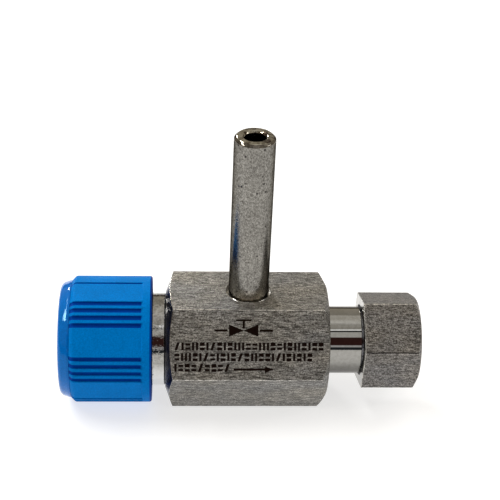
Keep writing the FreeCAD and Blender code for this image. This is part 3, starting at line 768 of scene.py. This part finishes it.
def marking():
    """Laser marks: a valve symbol, three rows of plain signs and the flow arrow."""
    mesh = bmesh.new()
    chance = random.Random(7)
    for left, right, middle in SIGN_ROWS:
        sign_row(mesh, left, right, middle, chance)
    arrow_start, head_start, arrow_tip = -3.9, 3.8, 6.0
    add_mark(mesh, box(arrow_start, -6.25, head_start, -5.7))
    add_mark(mesh, [(head_start, -6.8), (arrow_tip, -5.97), (head_start, -5.15)])
    middle, height, half = -1.5, 3.6, SYMBOL_STROKE / 2
    wing, wing_half, pipe_start, pipe_end = 3.6, 1.5, 3.95, 7.2
    for side in (-1, 1):
        add_mark(mesh, [(middle, height), (middle + side * wing, height - wing_half),
                        (middle + side * wing, height + wing_half)][::side])
        near, far = sorted((middle + side * pipe_start, middle + side * pipe_end))
        add_mark(mesh, box(near, height - half, far, height + half))
    stem_low, handle_low, handle_high, handle_half = height + 0.5, height + 2.3, height + 2.75, 1.9
    add_mark(mesh, box(middle - half, stem_low, middle + half, handle_low))
    add_mark(mesh, box(middle - handle_half, handle_low, middle + handle_half, handle_high))
    bmesh.ops.recalc_face_normals(mesh, faces=mesh.faces)
    finish_piece("flow_marking", mesh, [MARK], "valve")


# ---- studio ----

def cad_materials():
    """Materials for the CAD nodes that stay, by their slots: steel, graphite and brass."""
    by_slot = {"turned_steel": TURNED, "graphite": GRAPHITE, "insert_brass": BRASS}
    for row in frame["record"]["subparts"]:
        node, slot = frame["nodes"][row["node"]], row["material_slot"]
        if slot in by_slot and not node.hide_render:
            node.data.materials.clear()
            node.data.materials.append(by_slot[slot])


def floor():
    """Pale floor under the lowest point, lit a little from within so that shadows stay light."""
    data = bpy.data.meshes.new("floor")
    size, level = 3.0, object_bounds()[0][2] - 0.0002
    data.from_pydata([(-size, -size, level), (size, -size, level), (size, size, level),
                      (-size, size, level)], [], [(0, 1, 2, 3)])
    sheet = bpy.data.objects.new("floor", data)
    bpy.context.scene.collection.objects.link(sheet)
    shader = Shader("pale_floor", Base_Color=(0.5, 0.5, 0.5, 1), Roughness=0.9,
                    Specular_IOR_Level=0.1, Emission_Color=(1, 1, 1, 1), Emission_Strength=0.66)
    data.materials.append(shader.material)
    sheet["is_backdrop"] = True


def area_light(name, place, aim, width, height, power, colour=(1, 1, 1)):
    """A rectangular lamp at a place, turned to face a point; metres and watts."""
    data = bpy.data.lights.new(name, "AREA")
    data.shape, data.size, data.size_y = "RECTANGLE", width, height
    data.energy, data.color = power, colour
    lamp = bpy.data.objects.new(name, data)
    lamp.location = place
    lamp.rotation_mode = "QUATERNION"
    lamp.rotation_quaternion = (Vector(aim) - Vector(place)).to_track_quat("-Z", "Y")
    bpy.context.scene.collection.objects.link(lamp)


def world():
    """Soft warm room, with dark and bright bands across the middle of the viewer's side.

    The bands lie at heights from 0, straight down, through 0.5, the horizon, to 1, straight up."""
    scene_world = bpy.data.worlds.new("soft_room")
    bpy.context.scene.world = scene_world
    scene_world.use_nodes = True
    nodes, links = scene_world.node_tree.nodes, scene_world.node_tree.links
    background = nodes["Background"]
    place = nodes.new("ShaderNodeTexCoord").outputs["Generated"]
    split = nodes.new("ShaderNodeSeparateXYZ")
    links.new(place, split.inputs[0])

    def ramp(source, low, high, stops):
        """Colours along a value that runs from low to high."""
        fit = nodes.new("ShaderNodeMapRange")
        fit.inputs["From Min"].default_value = low
        fit.inputs["From Max"].default_value = high
        links.new(source, fit.inputs["Value"])
        colours = nodes.new("ShaderNodeValToRGB")
        set_stops(colours.color_ramp, stops)
        links.new(fit.outputs["Result"], colours.inputs["Fac"])
        return colours.outputs["Color"]

    black, white = (0, 0, 0), (1, 1, 1)
    ground, skirting, table = (0.9, 0.9, 0.9), (0.06, 0.07, 0.08), (1.3, 1.28, 1.3)
    window, window_bar, lamp = (1.5, 1.47, 1.42), (0.03, 0.03, 0.03), (3.0, 3.0, 3.0)
    viewer = ramp(split.outputs["Z"], -1, 1, [
        (0.478, ground), (0.488, skirting), (0.57, skirting), (0.582, table), (0.622, table),
        (0.64, (0.11, 0.04, 0.035)), (0.825, (0.11, 0.045, 0.04)), (0.84, window), (0.927, window),
        (0.931, window_bar), (0.947, window_bar), (0.951, lamp), (0.962, lamp),
        (0.967, (1.0, 0.97, 0.93)), (1.0, (1.5, 1.45, 1.38))])
    low_wall = (0.2, 0.16, 0.13)
    behind = ramp(split.outputs["Z"], -1, 1, [
        (0.478, ground), (0.5, low_wall), (0.6, low_wall), (0.64, (0.93, 0.84, 0.68)),
        (0.85, (0.88, 0.81, 0.69)), (0.97, (0.9, 0.84, 0.73)), (1.0, (1.4, 1.35, 1.28))])
    # The bands fade out where a direction's Y is above about -0.3 or its X is more than 0.3 from 0.
    front = ramp(split.outputs["Y"], -0.33, -0.27, [(0.0, white), (1.0, black)])
    middle = ramp(split.outputs["X"], -0.6, 0.6, [(0.2, black), (0.3, white), (0.7, white), (0.8, black)])
    side = nodes.new("ShaderNodeMath")
    side.operation = "MULTIPLY"
    links.new(front, side.inputs[0])
    links.new(middle, side.inputs[1])
    mix = nodes.new("ShaderNodeMix")
    mix.data_type = "RGBA"
    links.new(side.outputs[0], mix.inputs[0])
    links.new(behind, mix.inputs[6])
    links.new(viewer, mix.inputs[7])
    links.new(mix.outputs[2], background.inputs["Color"])
    background.inputs["Strength"].default_value = 0.6


def lights():
    """A wide panel overhead, a long thin window on the upper left, a small one on the right and a lamp
    behind.

    The left window gives the cap its long highlight, and the lamp the small one above it."""
    centre, cap = (0, 0, 0.02), (-0.045, 0, 0.03)
    area_light("ceiling_panel", (0.1, 0.31, 0.92), centre, 1.6, 0.55, 0.95, (1.0, 0.98, 0.94))
    area_light("upper_left_window", (-0.455, 0.13, 0.64), cap, 0.62, 0.055, 3.8)
    area_light("right_window", (0.63, -0.04, 0.47), centre, 0.25, 0.25, 1.2)
    area_light("back_lamp", (-0.246, 0.684, 0.39), cap, 0.12, 0.12, 2.0)


def camera():
    """Camera about 32 degrees above the level and a little to the left, leaning slightly."""
    azimuth, elevation, lean = (math.radians(angle) for angle in (-3.96, 31.95, 2.53))
    distance = 0.3233
    aim = Vector((-0.00006, 0, 0.0269 + AXIS * MM))
    out = Vector((math.cos(elevation) * math.sin(azimuth), -math.cos(elevation) * math.cos(azimuth),
                  math.sin(elevation)))
    data = bpy.data.cameras.new("camera")
    data.sensor_width, data.lens = 36.0, 94.8
    data.clip_start, data.clip_end = 0.01, 10
    eye = bpy.data.objects.new("camera", data)
    eye.location = aim + out * distance
    eye.rotation_mode = "QUATERNION"
    eye.rotation_quaternion = (-out).to_track_quat("-Z", "Y") @ Quaternion((0, 0, 1), lean)
    bpy.context.scene.collection.objects.link(eye)
    bpy.context.scene.camera = eye


valve_body()
union_nut()
inlet_tube()
socket_burr()
bonnet()
knob_grip()
knob_cap()
marking()
cad_materials()
floor()
world()
lights()
camera()
bpy.context.scene.view_settings.view_transform = "Standard"
